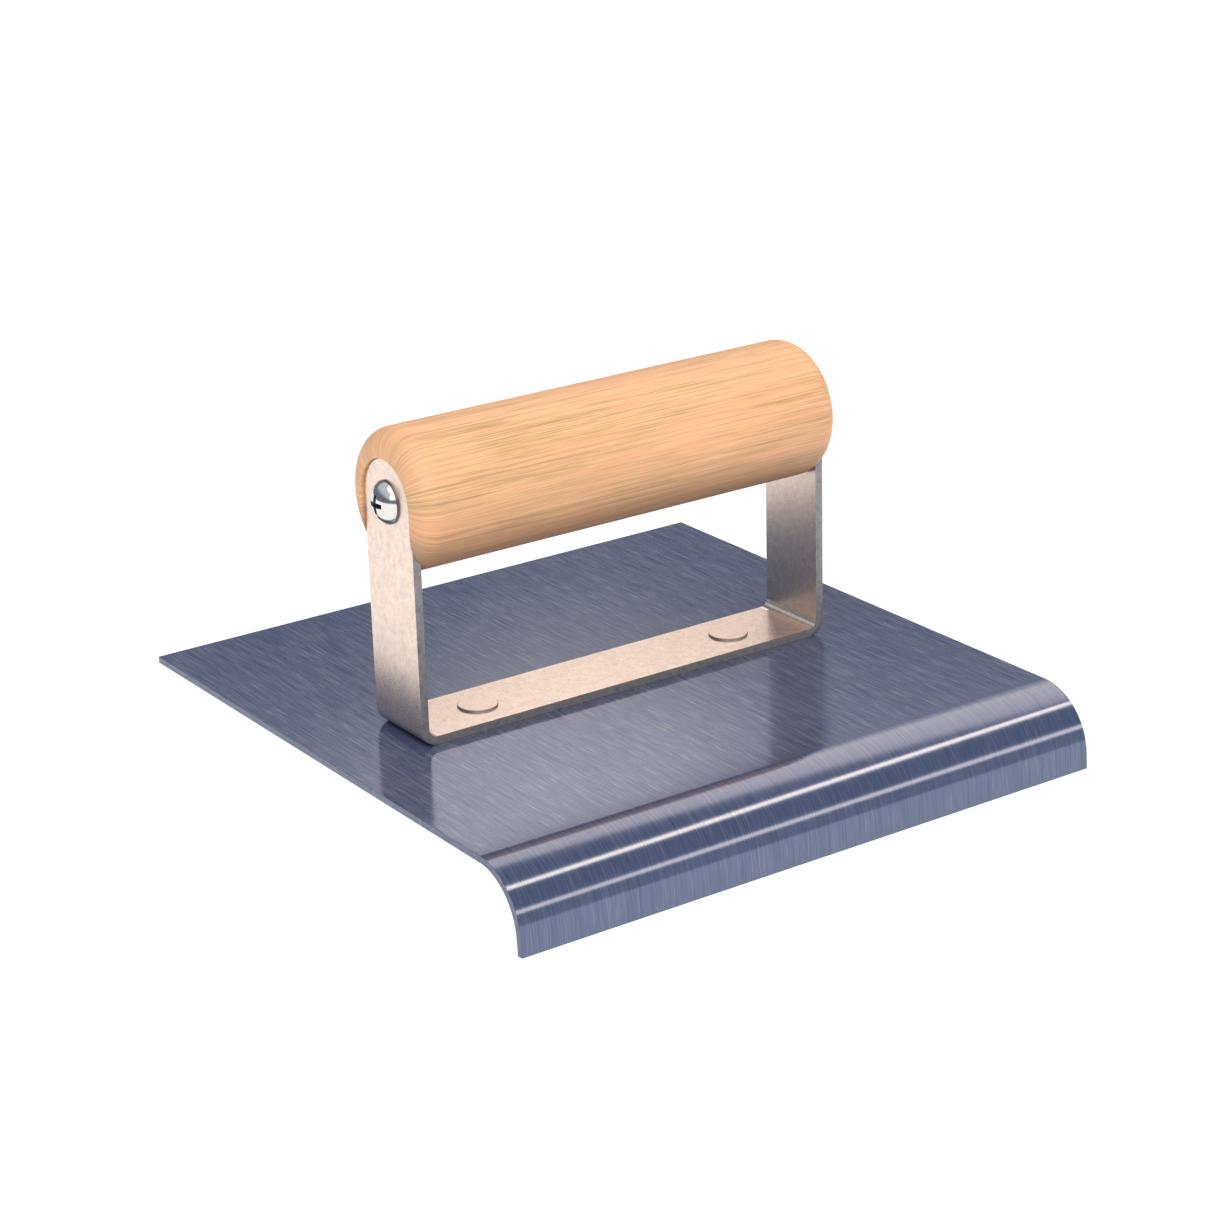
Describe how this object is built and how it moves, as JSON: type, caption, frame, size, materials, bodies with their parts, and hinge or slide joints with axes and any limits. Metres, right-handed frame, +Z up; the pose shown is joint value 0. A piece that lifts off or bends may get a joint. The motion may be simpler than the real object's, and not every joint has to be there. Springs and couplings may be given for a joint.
{
  "type": "concrete hand edger",
  "caption": "Concrete hand edger: flat steel blade with a rolled lip along one edge, bent strap bracket riveted on, round wooden handle screwed between its arms.",
  "frame": {"origin": "middle of the blade's outline seen from above, on the blade's flat underside", "axes": "+X along the lip and the handle, -Y towards the lip, +Z up from the blade to the handle"},
  "size_m": [0.1524, 0.1546, 0.0875],
  "materials": {
    "blued_steel": "blued and brushed from the back edge over the lip",
    "strap_steel": "plain mill finish, lightly mottled",
    "rivet_steel": "plain, satin",
    "handle_wood": "smooth sanded hardwood, clear sealed",
    "screw_plating": "bright nickel plate"
  },
  "bodies": {
    "root": {"blade": "blued_steel", "bracket": "strap_steel", "handle": "handle_wood", "rivet_left": "rivet_steel", "rivet_right": "rivet_steel", "screw_left": "screw_plating", "screw_right": "screw_plating"}
  },
  "joints": []
}
